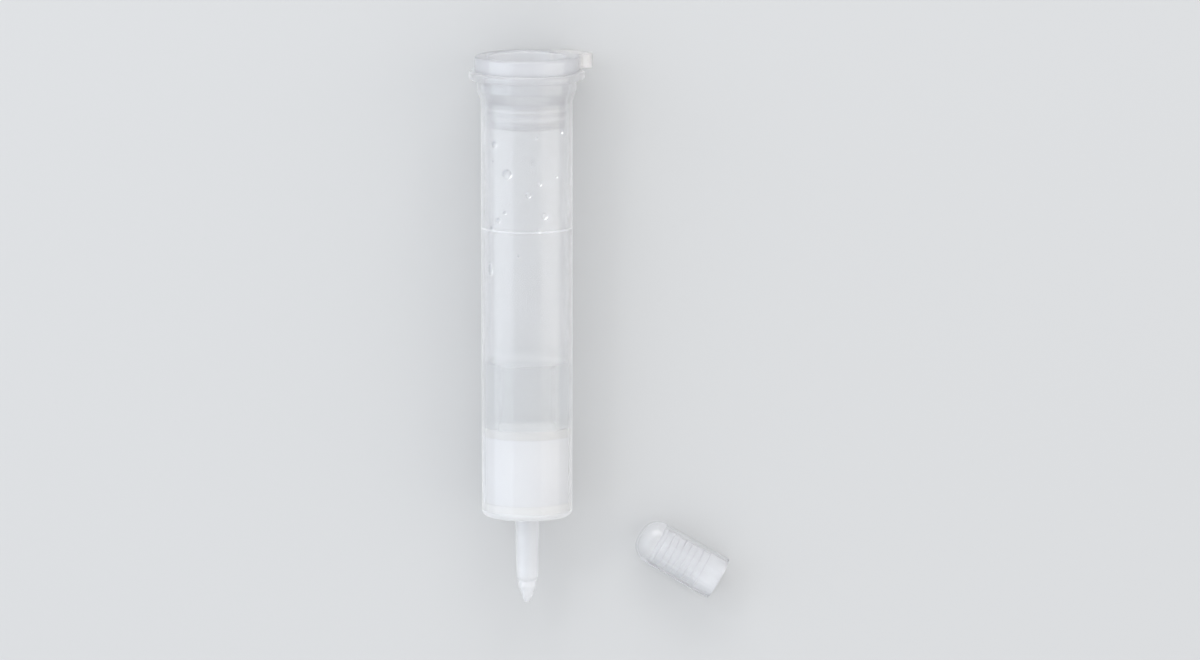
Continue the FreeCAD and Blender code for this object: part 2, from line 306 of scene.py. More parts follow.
# Moulded plastic: cloudy colour, flow lines along the draw, and a worn, uneven gloss.
def makeMouldedGroup():
    n = mouldedNoise
    group, entry, leave, link = newGroup("mouldedPlastic", [
        ("Place", "NodeSocketVector", None),
        ("Clear Colour", "NodeSocketColor", (0.9, 0.9, 0.9, 1)),
        ("Cloudy Colour", "NodeSocketColor", (0.8, 0.8, 0.8, 1)),
        ("Cloud Size", "NodeSocketFloat", 0.2),
        ("Gloss", "NodeSocketFloat", 0.2),
        ("Gloss Range", "NodeSocketFloat", 0.1),
    ], [
        ("Colour", "NodeSocketColor"),
        ("Roughness", "NodeSocketFloat"),
        ("Height", "NodeSocketFloat"),
    ])
    clouds = addNode(group, "ShaderNodeTexNoise", (-500, 200),
                     Detail=n["cloudDetail"], Roughness=n["cloudRoughness"])
    link(entry["Place"], clouds.inputs["Vector"])
    link(entry["Cloud Size"], clouds.inputs["Scale"])
    link(mixColours(group, (300, 260), clouds.outputs["Fac"],
                    entry["Clear Colour"], entry["Cloudy Colour"]), leave["Colour"])
    stretch = addNode(group, "ShaderNodeMapping", (-700, -120), Scale=n["flowStretch"])
    link(entry["Place"], stretch.inputs["Vector"])
    flow = addNode(group, "ShaderNodeTexNoise", (-500, -120),
                   Scale=n["flowScale"], Detail=n["flowDetail"])
    link(stretch.outputs["Vector"], flow.inputs["Vector"])
    fine = addNode(group, "ShaderNodeTexNoise", (-500, -380),
                   Scale=n["fineScale"], Detail=n["fineDetail"])
    link(entry["Place"], fine.inputs["Vector"])
    rough = addNode(group, "ShaderNodeMath", (100, -60), operation="MULTIPLY_ADD")
    link(fine.outputs["Fac"], rough.inputs[0])
    link(entry["Gloss Range"], rough.inputs[1])
    link(entry["Gloss"], rough.inputs[2])
    link(rough.outputs[0], leave["Roughness"])
    height = addNode(group, "ShaderNodeMath", (100, -300), operation="MULTIPLY_ADD")
    height.inputs[1].default_value = n["fineShare"]
    link(fine.outputs["Fac"], height.inputs[0])
    link(flow.outputs["Fac"], height.inputs[2])
    link(height.outputs[0], leave["Height"])
    return group


# Packed grains: beads of a bed or the sintered grains of a frit.
def makeGrainGroup():
    n = grainNoise
    group, entry, leave, link = newGroup("packedGrains", [
        ("Place", "NodeSocketVector", None),
        ("Light Colour", "NodeSocketColor", (0.95, 0.95, 0.95, 1)),
        ("Dark Colour", "NodeSocketColor", (0.85, 0.85, 0.85, 1)),
        ("Grains per mm", "NodeSocketFloat", 6.0),
        ("Patch Size", "NodeSocketFloat", 0.15),
    ], [
        ("Colour", "NodeSocketColor"),
        ("Height", "NodeSocketFloat"),
    ])
    grains = addNode(group, "ShaderNodeTexVoronoi", (-500, -150))
    link(entry["Place"], grains.inputs["Vector"])
    link(entry["Grains per mm"], grains.inputs["Scale"])
    patches = addNode(group, "ShaderNodeTexNoise", (-500, 200),
                      Detail=n["patchDetail"], Roughness=n["patchRoughness"])
    link(entry["Place"], patches.inputs["Vector"])
    link(entry["Patch Size"], patches.inputs["Scale"])
    shade = addNode(group, "ShaderNodeMath", (-200, 60), operation="MULTIPLY_ADD")
    shade.inputs[1].default_value = n["grainShare"]
    link(grains.outputs["Distance"], shade.inputs[0])
    link(patches.outputs["Fac"], shade.inputs[2])
    darkness = stretchRange(group, (0, 60), shade.outputs[0], n["darkFrom"], n["darkTo"])
    link(mixColours(group, (300, 200), darkness, entry["Light Colour"], entry["Dark Colour"]),
         leave["Colour"])
    rise = addNode(group, "ShaderNodeMath", (0, -150), operation="SUBTRACT")
    rise.inputs[0].default_value = 1.0
    link(grains.outputs["Distance"], rise.inputs[1])
    link(rise.outputs[0], leave["Height"])
    return group


mouldedPlastic = makeMouldedGroup()
packedGrains = makeGrainGroup()


# Places a texture group in a material, and links its colour and its height, through a bump.
def addTexture(tree, surface, texture, matrix, values, bumpStrength, bumpDepth):
    group = addNode(tree, "ShaderNodeGroup", (-300, 100))
    group.node_tree = texture
    setInputs(group, values)
    link = tree.links.new
    link(uprightCoordinates(tree, matrix), group.inputs["Place"])
    bump = addNode(tree, "ShaderNodeBump", (200, -260),
                   Strength=bumpStrength, Distance=bumpDepth * mm)
    link(group.outputs["Height"], bump.inputs["Height"])
    link(group.outputs["Colour"], surface.inputs["Base Color"])
    link(bump.outputs["Normal"], surface.inputs["Normal"])
    return group


# Milky see-through plastic. Its sheen is the whiter look of a wall that is seen at a low angle.
def plasticMaterial(name, matrix, look):
    material, tree, surface = freshMaterial(name)
    group = addTexture(tree, surface, mouldedPlastic, matrix, {
        "Clear Colour": (*look["clear"], 1),
        "Cloudy Colour": (*look["cloudy"], 1),
        "Cloud Size": look["cloudSize"],
        "Gloss": look["roughness"],
        "Gloss Range": look["roughnessRange"],
    }, look["bump"], mouldedNoise["bumpDepth"])
    tree.links.new(group.outputs["Roughness"], surface.inputs["Roughness"])
    setInputs(surface, {
        "Transmission Weight": look["transmission"],
        "IOR": look["refraction"],
        "Sheen Weight": look["sheen"],
        "Sheen Roughness": mouldedNoise["sheenRoughness"],
    })
    return material


def liquidMaterial(name, look):
    material, tree, surface = freshMaterial(name)
    setInputs(surface, {
        "Base Color": (*look["colour"], 1),
        "Transmission Weight": look["transmission"],
        "Roughness": 0.0,
        "IOR": look["refraction"],
    })
    return material


# A clinging drop with painted light: a painted grey shade on the side towards the light, and a
# painted glint, made to glow, on the far side.
def makeDropPaintedLightGroup(look):
    group, entry, leave, link = newGroup("dropPaintedShadeAndGlint", [
        ("Towards Light", "NodeSocketVector", None),
        ("Painted Shade Colour", "NodeSocketColor", (*look["shade"], 1)),
        ("Clear Colour", "NodeSocketColor", (*look["clear"], 1)),
    ], [
        ("Colour", "NodeSocketColor"),
        ("Painted Glint", "NodeSocketColor"),
    ])
    facing = addNode(group, "ShaderNodeTexCoord", (-900, -200))
    lean = addNode(group, "ShaderNodeVectorMath", (-600, 0), operation="DOT_PRODUCT")
    link(entry["Towards Light"], lean.inputs[0])
    link(facing.outputs["Normal"], lean.inputs[1])
    # Painted shade: greyer on the side towards the light.
    shade = stretchRange(group, (-300, 150), lean.outputs["Value"], *look["paintedShadeRange"])
    link(mixColours(group, (100, 150), shade, entry["Clear Colour"], entry["Painted Shade Colour"]),
         leave["Colour"])
    # Painted glint on the far side, which the material makes glow.
    paintedGlint = stretchRange(group, (-300, -150), lean.outputs["Value"], *look["paintedGlintRange"])
    paintedGlow = addNode(group, "ShaderNodeMix", (100, -150), data_type="RGBA")
    paintedGlow.inputs[6].default_value = (0, 0, 0, 1)
    paintedGlow.inputs[7].default_value = (1, 1, 1, 1)
    link(paintedGlint, paintedGlow.inputs[0])
    link(paintedGlow.outputs[2], leave["Painted Glint"])
    return group


def dropMaterial(name, matrix, look):
    material, tree, surface = freshMaterial(name)
    group = addNode(tree, "ShaderNodeGroup", (-100, 100))
    group.node_tree = makeDropPaintedLightGroup(look)
    toLight = matrix.to_3x3() @ Vector(look["toLight"]).normalized()
    group.inputs["Towards Light"].default_value = toLight
    link = tree.links.new
    link(group.outputs["Colour"], surface.inputs["Base Color"])
    # The painted glint glows through the emission.
    link(group.outputs["Painted Glint"], surface.inputs["Emission Color"])
    setInputs(surface, {
        "Emission Strength": look["paintedGlintStrength"],
        "Transmission Weight": look["transmission"],
        "Roughness": 0.0,
        "IOR": look["refraction"],
    })
    return material


def grainMaterial(name, matrix, look):
    material, tree, surface = freshMaterial(name)
    addTexture(tree, surface, packedGrains, matrix, {
        "Light Colour": (*look["light"], 1),
        "Dark Colour": (*look["dark"], 1),
        "Grains per mm": look["grainsPerMm"],
        "Patch Size": look["patchSize"],
    }, look["bump"], grainNoise["bumpDepth"])
    setInputs(surface, {
        "Roughness": look["roughness"],
        "Subsurface Weight": look["scatter"],
        "Subsurface Radius": (1.0, 1.0, 1.0),
        "Subsurface Scale": grainNoise["scatterLength"] * mm,
    })
    # A painted glow, for looks that carry one.
    if "paintedGlow" in look:
        setInputs(surface, {
            "Emission Color": (*look["paintedGlow"], 1),
            "Emission Strength": look["paintedGlowStrength"],
        })
    return material


# Barrel: one moulding with its flange, outlet and sealed tip.
barrel = {
    "sides": 192,
    "bore": 7.25, "wall": 1.0, "footRadius": 8.175, "floor": 1.0, "length": 80.9,
    "flangeRadius": 10.4, "flangeUnderside": 79.5, "flangeRounding": 0.35,
    "neckRadius": 8.9, "neckRounding": 0.15, "mouthRadius": 7.9, "mouthRounding": 0.15,
    "flareTop": 77.5, "flareFoot": 75.5, "flareRounding": 2.0, "boreRounding": 0.5,
    "ringTop": 52.8, "ringHeight": 0.3, "ringProud": 0.04,
    "footRounding": 1.0, "floorRounding": 0.2,
    "outletRoot": 2.2, "outletEnd": 1.92, "outletLength": 11.6, "outletRootRounding": 0.6,
    "snapLine": 0.45, "snapRounding": 0.08,
    "tipRadius": 1.6, "tipLength": 4.4, "tipCone": 2.8, "tipEnd": 0.5, "tipRounding": 0.5,
    "channel": 0.9, "channelRounding": 0.1, "channelEndWall": 0.4, "channelEndRounding": 0.2,
    "whiteAboveFloor": 0.12, "whiteAroundOutlet": 0.7,
}

# What the barrel holds, from the floor up.
contents = {
    "sides": 128,
    "lowerFrit": 1.6, "bed": 12.1, "upperFrit": 1.6,
    "solution": 11.3, "meniscusRise": 0.6,
    "meniscusReach": 2.2, "meniscusSteps": 10, "liquidRims": 0.2,
    "pressedIn": 0.02, "discRounding": 0.05, "liquidGap": 0.02, "liquidLift": 0.01,
}

bedFoot = barrel["floor"] + contents["lowerFrit"]
bedTop = bedFoot + contents["bed"]
stackTop = bedTop + contents["upperFrit"]
liquidTop = stackTop + contents["solution"]
liquidEdge = liquidTop + contents["meniscusRise"]


def makeBarrel():
    b = barrel
    outer = b["bore"] + b["wall"]
    ringFoot = b["ringTop"] - b["ringHeight"]
    crest = b["ringHeight"] / 3
    tipFoot = -b["outletLength"] - b["tipLength"]
    corners = [
        (0, tipFoot, 0),
        (b["tipEnd"], tipFoot, b["tipEnd"] / 2),
        (b["tipRadius"], tipFoot + b["tipCone"], b["tipRounding"]),
        (b["tipRadius"], -b["outletLength"] - b["snapLine"], b["snapRounding"]),
        (b["outletEnd"], -b["outletLength"], b["snapRounding"]),
        (b["outletRoot"], 0, b["outletRootRounding"]),
        (b["footRadius"], 0, b["footRounding"]),
        (outer, ringFoot, 0),
        (outer + b["ringProud"], ringFoot + crest, 0),
        (outer + b["ringProud"], b["ringTop"] - crest, 0),
        (outer, b["ringTop"], 0),
        (outer, b["flareFoot"], b["flareRounding"]),
        (b["neckRadius"], b["flareTop"], b["flareRounding"]),
        (b["neckRadius"], b["flangeUnderside"], b["neckRounding"]),
        (b["flangeRadius"], b["flangeUnderside"], b["flangeRounding"]),
        (b["flangeRadius"], b["length"], b["flangeRounding"]),
        (b["mouthRadius"], b["length"], b["mouthRounding"]),
        (b["mouthRadius"], b["flareTop"], b["boreRounding"]),
        (b["bore"], b["flareFoot"], b["boreRounding"]),
        (b["bore"], liquidEdge, 0),
        (b["bore"], stackTop, 0),
        (b["bore"], b["floor"], b["floorRounding"]),
        (b["channel"], b["floor"], b["channelRounding"]),
        (b["channel"], -b["outletLength"] + b["channelEndWall"], b["channelEndRounding"]),
        (0, -b["outletLength"] + b["channelEndWall"], 0),
    ]
    piece = turnPiece("columnBarrel", softOutline(corners), b["sides"])
    smooth(piece)
    return piece


# Thick places and the fine ring round the barrel look whiter than the wall, and the foot most,
# as it takes light from the bed. Where the liquid wets the bore, it bends light far less than
# where it is dry.
def barrelPlace(face, centre, across):
    b = barrel
    if across < b["bore"] + onSurface and stackTop < centre.z < liquidEdge:
        return "wet"
    outside = across > b["bore"] + b["wall"] / 2
    if outside and b["ringTop"] - b["ringHeight"] < centre.z < b["ringTop"]:
        return "outlet"
    if centre.z < b["floor"] + b["whiteAboveFloor"]:
        return "foot" if across > b["outletRoot"] + b["whiteAroundOutlet"] else "outlet"
    return "wall"


barrelLook = {
    "clear": (0.95, 0.957, 0.968), "cloudy": (0.915, 0.922, 0.938), "cloudSize": 0.12,
    "roughness": 0.17, "roughnessRange": 0.08, "bump": 0.12,
    "transmission": 0.82, "refraction": 1.49, "sheen": 0.5,
}
outletLook = dict(barrelLook, transmission=0.68,
                  clear=(0.925, 0.935, 0.955), cloudy=(0.88, 0.89, 0.91))
footLook = dict(outletLook, transmission=0.5)
wetLook = dict(barrelLook, transmission=0.76, refraction=1.11,
               clear=(0.99, 0.995, 1.0), cloudy=(0.955, 0.96, 0.97),
               roughness=0.04, roughnessRange=0.04)

columnBarrel = makeBarrel()
paintFaces(columnBarrel, {
    "wall": plasticMaterial("barrelWall", lying, barrelLook),
    "outlet": plasticMaterial("barrelOutlet", lying, outletLook),
    "wet": plasticMaterial("wetBore", lying, wetLook),
    "foot": plasticMaterial("barrelFoot", lying, footLook),
}, barrelPlace)
layDown(columnBarrel, lying)
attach(columnBarrel, "column")
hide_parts("barrel")
print("barrel done")


# Frits and bed touch the wall, so they are drawn a hair into it and show up to its edge.
def makeGrainDisc(name, foot, top, materials, node):
    radius = barrel["bore"] + contents["pressedIn"]
    rounding = contents["discRounding"]
    corners = [(0, foot, 0), (radius, foot, rounding), (radius, top, rounding), (0, top, 0)]
    piece = turnPiece(name, softOutline(corners, arcSteps=2, support=0.1), contents["sides"])
    smooth(piece)

    def discPlace(face, centre, across):
        return "top" if "top" in materials and face.normal.z > facesUp else "side"

    paintFaces(piece, materials, discPlace)
    layDown(piece, lying)
    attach(piece, "column")
    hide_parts(node)
    return piece


fritLook = {
    "light": (0.8, 0.8, 0.79), "dark": (0.73, 0.73, 0.725), "grainsPerMm": 5.0,
    "patchSize": 0.5, "bump": 0.35, "roughness": 0.55, "scatter": 0.2,
}
bedLook = {
    "light": (0.86, 0.865, 0.88), "dark": (0.81, 0.82, 0.845), "grainsPerMm": 11.0,
    "patchSize": 0.12, "bump": 0.15, "roughness": 0.5, "scatter": 0.35,
}
# The upper frit's top is painted lighter than its side and given a faint glow: painted light, for
# the light it takes from the liquid over it.
fritTopPaintedLightLook = dict(fritLook, light=(0.99, 0.99, 0.98), dark=(0.96, 0.96, 0.955),
                    paintedGlow=(1.0, 0.99, 0.97), paintedGlowStrength=0.12)
lowerFritLook = dict(fritLook, light=(0.9, 0.9, 0.89), dark=(0.87, 0.87, 0.86))
fritPlastic = grainMaterial("fritPlastic", lying, fritLook)
fritTopPaintedLight = grainMaterial("fritTopPaintedLight", lying, fritTopPaintedLightLook)
lowerFritPlastic = grainMaterial("lowerFritPlastic", lying, lowerFritLook)
bedBeads = grainMaterial("bedBeads", lying, bedLook)

makeGrainDisc("lowerFrit", barrel["floor"] - contents["pressedIn"], bedFoot,
              {"side": lowerFritPlastic}, "lower_frit")
makeGrainDisc("resinBed", bedFoot, bedTop, {"side": bedBeads}, "resin_bed")
makeGrainDisc("upperFrit", bedTop, stackTop,
              {"side": fritPlastic, "top": fritTopPaintedLight}, "upper_frit")
print("frits and bed done")


# Liquid over the upper frit. Its surface climbs the wall in a curve.
def makeSolution():
    radius = barrel["bore"] - contents["liquidGap"]
    rise, reach = contents["meniscusRise"], contents["meniscusReach"]
    rim, steps = contents["liquidRims"], contents["meniscusSteps"]
    foot = stackTop + contents["liquidLift"]
    corners = [Vector((0, foot)), Vector((radius, foot)), Vector((radius, foot + rim)),
               Vector((radius, liquidEdge - rim)), Vector((radius, liquidEdge))]
    for step in range(1, steps + 1):
        inward = reach * step / steps
        climb = (1 - inward / reach) ** 2
        corners.append(Vector((radius - inward, liquidTop + rise * climb)))
    corners.append(Vector((radius / 2, liquidTop)))
    corners.append(Vector((0, liquidTop)))
    piece = turnPiece("storageSolution", corners, contents["sides"])
    smooth(piece, 60)
    return piece


# The side doesn't bend light, as the wetted bore does that for it.
solutionSideLook = {"colour": (0.96, 0.98, 0.99), "transmission": 1.0, "refraction": 1.0}
solutionSurfaceLook = dict(solutionSideLook, transmission=0.3, refraction=1.34)
meniscusFacesUp = 0.3


def solutionPlace(face, centre, across):
    return "surface" if face.normal.z > meniscusFacesUp else "side"


storageSolution = makeSolution()
paintFaces(storageSolution, {
    "side": liquidMaterial("solutionSide", solutionSideLook),
    "surface": liquidMaterial("solutionSurface", solutionSurfaceLook),
}, solutionPlace)
layDown(storageSolution, lying)
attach(storageSolution, "column")
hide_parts("storage_solution")
print("solution done")

# Drops that cling inside the upper barrel: (across, height, width, length, side of the bore).
drops = {
    "stands": 0.45, "sunkIn": 0.02, "wallFromBore": 0.3, "segments": 24, "rings": 14,
    "spots": [
        (-3.5, 63.1, 1.8, 1.8, "front"), (-5.7, 68.3, 1.2, 1.3, "front"),
        (0.3, 59.4, 1.0, 1.1, "front"), (2.4, 61.4, 0.7, 0.8, "front"),
        (1.4, 63.4, 1.4, 1.4, "back"), (3.2, 55.5, 1.1, 1.2, "front"),
        (-5.1, 54.5, 1.0, 1.0, "front"), (-3.9, 56.1, 0.7, 0.7, "front"),
        (-6.1, 52.9, 0.9, 1.0, "front"), (2.1, 52.8, 0.8, 0.8, "front"),
        (-6.4, 45.5, 1.2, 2.2, "front"), (-0.4, 56.8, 0.6, 0.6, "back"),
        (1.8, 69.7, 0.5, 0.5, "front"), (6.2, 70.4, 0.6, 0.6, "front"),
        (-1.5, 48.4, 0.6, 0.6, "front"), (6.4, 55.2, 0.8, 0.8, "back"),
        (-5.9, 65.2, 0.5, 0.5, "front"), (4.6, 47.2, 0.6, 0.7, "back"),
        (-2.2, 66.7, 0.5, 0.5, "back"), (5.3, 62.5, 0.5, 0.6, "front"),
    ],
}


def makeDrops():
    beads = []
    for across, height, width, length, side in drops["spots"]:
        startFresh()
        bpy.ops.mesh.primitive_uv_sphere_add(
            segments=drops["segments"], ring_count=drops["rings"], radius=0.5 * mm)
        bead = bpy.context.object
        bpy.ops.object.mode_set(mode="EDIT")
        bpy.ops.transform.resize(value=(width, drops["stands"] * width, length))
        bpy.ops.mesh.select_all(action="SELECT")
        bpy.ops.object.mode_set(mode="OBJECT")
        angle = math.asin(across / (barrel["bore"] + drops["wallFromBore"]))
        if side == "front":
            turn = angle
            out = Vector((math.sin(angle), -math.cos(angle), 0))
        else:
            turn = -angle
            out = Vector((math.sin(angle), math.cos(angle), 0))
        centre = out * (barrel["bore"] - drops["sunkIn"]) * mm + Vector((0, 0, height * mm))
        bead.matrix_world = Matrix.Translation(centre) @ Matrix.Rotation(turn, 4, "Z")
        only(bead)
        bpy.ops.object.transform_apply(location=True, rotation=True, scale=True)
        beads.append(bead)
    startFresh()
    for bead in beads:
        bead.select_set(True)
    bpy.context.view_layer.objects.active = beads[0]
    bpy.ops.object.join()
    piece = bpy.context.object
    piece.name = "clingingDrops"
    piece.data.name = "clingingDrops"
    smooth(piece, 180)
    return piece


# The ranges are cosines of the angle between the drop's surface and the way to the light; they
# place the painted shade and the painted glint.
dropPaintedLightLook = {
    "toLight": (-0.7, 0.1, 0.7), "shade": (0.36, 0.38, 0.41), "clear": (0.97, 0.98, 0.99),
    "paintedShadeRange": (0.15, 0.65), "paintedGlintRange": (-0.64, -0.82), "paintedGlintStrength": 2.1,
    "transmission": 0.6, "refraction": 1.33,
}
clingingDrops = makeDrops()
clingingDrops.data.materials.append(dropMaterial("dropWaterPaintedLight", lying, dropPaintedLightLook))
layDown(clingingDrops, lying)
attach(clingingDrops, "column")
print("drops done")

# Lid: disc, lift tab and hollow plug.
lid = {
    "sides": 200,
    "radius": 9.4, "underside": 80.92, "thickness": 2.7, "topRounding": 0.35, "lowRounding": 0.18,
    "plugDepth": 10.0, "mouthPlug": 7.8, "mouthRounding": 0.15, "borePlug": 7.0,
    "plugRounding": 0.5, "lead": 0.4,
    "sealRadius": 7.235, "sealDepth": 6.6, "sealPitch": 1.5, "sealHeight": 0.9, "sealLand": 0.3,
    "cupRadius": 7.2, "cupFootRadius": 6.2, "plugFloor": 1.0,
    "cupRimRounding": 0.4, "cupWallRounding": 0.6, "cupFloorRounding": 0.5,
    "tabReach": 12.8, "tabHalfWidth": 4.0, "tabCorner": 1.6, "tabRoot": 1.2,
    "tabFoundBeyond": 12.0, "tabPaintedWarmBeyond": 1.4, "rimEdgeDegrees": 45,
}


def sealMiddles():
    highest = barrel["length"] - lid["sealDepth"]
    return [highest - number * lid["sealPitch"] for number in (1, 0)]


def makeLid():
    c = lid
    top = c["underside"] + c["thickness"]
    plugEnd = c["underside"] - c["plugDepth"]
    corners = [
        (0, plugEnd, 0),
        (c["borePlug"], plugEnd, c["lead"]),
    ]
    for middle in sealMiddles():
        corners += [
            (c["borePlug"], middle - c["sealHeight"] / 2, 0),
            (c["sealRadius"], middle - c["sealLand"] / 2, 0),
            (c["sealRadius"], middle + c["sealLand"] / 2, 0),
            (c["borePlug"], middle + c["sealHeight"] / 2, 0),
        ]
    corners += [
        (c["borePlug"], barrel["flareFoot"], c["plugRounding"]),
        (c["mouthPlug"], barrel["flareTop"], c["plugRounding"]),
        (c["mouthPlug"], c["underside"], c["mouthRounding"]),
        (c["radius"], c["underside"], 0),
        (c["radius"], top, 0),
        (c["cupRadius"], top, c["cupRimRounding"]),
        (c["cupRadius"], barrel["flareTop"], c["cupWallRounding"]),
        (c["cupFootRadius"], barrel["flareFoot"], c["cupWallRounding"]),
        (c["cupFootRadius"], plugEnd + c["plugFloor"], c["cupFloorRounding"]),
        (0, plugEnd + c["plugFloor"], 0),
    ]
    piece = turnPiece("columnLid", softOutline(corners, longStraight=3.0), c["sides"])
    addLiftTab(piece)
    smooth(piece)
    return piece


# Outline of the tab from one side to the other: a hollow root, a rounded corner, the straight
# end, and the same again.
def tabEndPoints(count):
    c = lid
    rootSteps, cornerSteps = 5, 7
    rootX, rootY, rootTurn = tabRootCentre()
    corner = c["tabCorner"]
    reach, half = c["tabReach"] - corner, c["tabHalfWidth"] - corner
    side = []
    for step in range(1, rootSteps + 1):
        turn = rootTurn + (math.pi / 2 - rootTurn) * step / rootSteps
        side.append((rootX + c["tabRoot"] * math.cos(turn),
                     rootY + c["tabRoot"] * math.sin(turn)))
    for step in range(cornerSteps + 1):
        turn = -math.pi / 2 + math.pi / 2 * step / cornerSteps
        side.append((reach + corner * math.cos(turn), -half + corner * math.sin(turn)))
    straightSteps = count - 2 * len(side) + 1
    end = [(c["tabReach"], -half + 2 * half * step / straightSteps)
           for step in range(1, straightSteps)]
    return side + end + [(x, -y) for x, y in reversed(side)]


# Centre of the hollow at the tab's root, and where on it the disc's side is met.
def tabRootCentre():
    c = lid
    away = c["radius"] + c["tabRoot"]
    y = -(c["tabHalfWidth"] + c["tabRoot"])
    x = math.sqrt(away ** 2 - y ** 2)
    return x, y, math.atan2(-y, -x)


# The tab grows out of the disc's side, between its two faces.
def addLiftTab(piece):
    c = lid
    top = (c["underside"] + c["thickness"]) * mm
    low = c["underside"] * mm
    rootX, rootY, rootTurn = tabRootCentre()
    halfAngle = math.atan2(-rootY, rootX)

    def onTabSide(face):
        onSide = math.hypot(face.center.x, face.center.y) > (c["radius"] - 0.1) * mm
        angle = math.atan2(face.center.y, face.center.x)
        return onSide and low < face.center.z < top and abs(angle) < halfAngle

    selectWhere(piece, "FACE", onTabSide)
    bpy.ops.mesh.extrude_region_move()
    bpy.ops.mesh.select_mode(type="VERT")
    bpy.ops.object.mode_set(mode="OBJECT")
    grown = [vertex for vertex in piece.data.vertices if vertex.select]
    columns = {}
    for vertex in grown:
        turn = round(math.degrees(math.atan2(vertex.co.y, vertex.co.x)), 2)
        columns.setdefault(turn, []).append(vertex.index)
    for turn, (x, y) in zip(sorted(columns), tabEndPoints(len(columns))):
        chosen = columns[turn]
        start = piece.data.vertices[chosen[0]].co.copy()
        selectWhere(piece, "VERT", lambda vertex: vertex.index in chosen)
        bpy.ops.transform.translate(value=(x * mm - start.x, y * mm - start.y, 0))
        bpy.ops.object.mode_set(mode="OBJECT")

    for level, rounding in ((top, c["topRounding"]), (low, c["lowRounding"])):

        def onRim(edge):
            ends = [piece.data.vertices[index].co for index in edge.vertices]
            flat = all(abs(end.z - level) < closeUp / 2 for end in ends)
            outer = all(math.hypot(end.x, end.y) > (c["radius"] - 0.02) * mm for end in ends)
            return flat and outer and edgeIsSharp(piece, edge, c["rimEdgeDegrees"])

        selectWhere(piece, "EDGE", onRim)
        bpy.ops.mesh.bevel(offset=rounding * mm, segments=4, affect="EDGES", loop_slide=False)
        bpy.ops.object.mode_set(mode="OBJECT")


# True where the two faces of an edge meet at a corner.
def edgeIsSharp(piece, edge, degrees):
    key = tuple(sorted(edge.vertices))
    normals = edgeNormals(piece).get(key, [])
    return len(normals) == 2 and normals[0].angle(normals[1]) > math.radians(degrees)


edgeTables = {}


def edgeNormals(piece):
    mark = (piece.name, len(piece.data.polygons))
    if mark not in edgeTables:
        table = {}
        for face in piece.data.polygons:
            for key in face.edge_keys:
                table.setdefault(tuple(sorted(key)), []).append(face.normal.copy())
        edgeTables[mark] = table
    return edgeTables[mark]


lidLook = {
    "clear": (0.91, 0.915, 0.94), "cloudy": (0.795, 0.805, 0.83), "cloudSize": 1.0,
    "roughness": 0.17, "roughnessRange": 0.08, "bump": 0.25,
    "transmission": 0.78, "refraction": 1.5, "sheen": 0.0,
}
# Painted light: the dish, the tab's end and the sealing rings are lighter or warmer copies of the
# lid's plastic.
dishPaintedLightLook = dict(lidLook, transmission=0.62, clear=(0.96, 0.965, 0.98), cloudy=(0.92, 0.925, 0.945))
tabPaintedWarmLightLook = dict(lidLook, transmission=0.74, clear=(0.96, 0.945, 0.935), cloudy=(0.87, 0.855, 0.845))
sealPaintedHighlightLook = dict(lidLook, transmission=0.5, clear=(0.98, 0.98, 0.99), cloudy=(0.94, 0.94, 0.95))


# Painted light on the lid: its dish and its sealing rings are painted whiter and less clear, and
# the end of its tab painted warmer, for the light that gathers in them.
def lidPlace(face, centre, across):
    c = lid
    dishFloor = c["underside"] - c["plugDepth"] + c["plugFloor"] / 2
    inDish = across < c["cupRadius"] + 2 * onSurface and centre.z > dishFloor
    facesDown = face.normal.z <= -0.5
    if inDish and not facesDown and centre.xy.dot(face.normal.xy) <= 0:
        return "dish"
    if across > c["radius"] + c["tabPaintedWarmBeyond"]:
        return "tab"
    onSeal = any(abs(centre.z - middle) < c["sealHeight"] / 2 for middle in sealMiddles())
    return "seal" if onSeal and across > c["borePlug"] - 2 * onSurface else "side"


columnLid = makeLid()
paintFaces(columnLid, {
    "side": plasticMaterial("lidPlastic", lying, lidLook),
    "dish": plasticMaterial("lidDishPaintedLight", lying, dishPaintedLightLook),
    "tab": plasticMaterial("lidTabPaintedWarmLight", lying, tabPaintedWarmLightLook),
    "seal": plasticMaterial("lidSealingRingsPaintedHighlight", lying, sealPaintedHighlightLook),
}, lidPlace)
layDown(columnLid, lying @ Matrix.Rotation(tabTurn(lid["tabFoundBeyond"]), 4, "Z"))
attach(columnLid, "lid")
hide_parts("top_cap")
print("lid done")

# Loose cap for the outlet: a bullet with six flats and a ringed bore, mouth at height zero.
looseCap = {
    "sides": 144,
    "length": 16.5, "mouthRadius": 4.1, "noseRadius": 3.95, "noseRounding": 3.2,
    "flatDistance": 3.75, "flats": 6, "edgeSoftening": 0.2, "mouthRounding": 0.25,
    "bore": 2.3, "boreDepth": 13.0, "boreRounding": 0.4, "entry": 2.7, "entryDepth": 3.5,
    "ringDepth": 0.2, "ringHeight": 0.4, "ringPitch": 1.2, "rings": 7,
    "drillSides": 96, "drillStart": -1.0, "outlineSteps": 20,
    "cutBeyondBore": 0.1, "cutTolerance": 1e-7, "weld": 0.01, "flatHasCorners": 12,
    "mountDepth": 8.25,
}


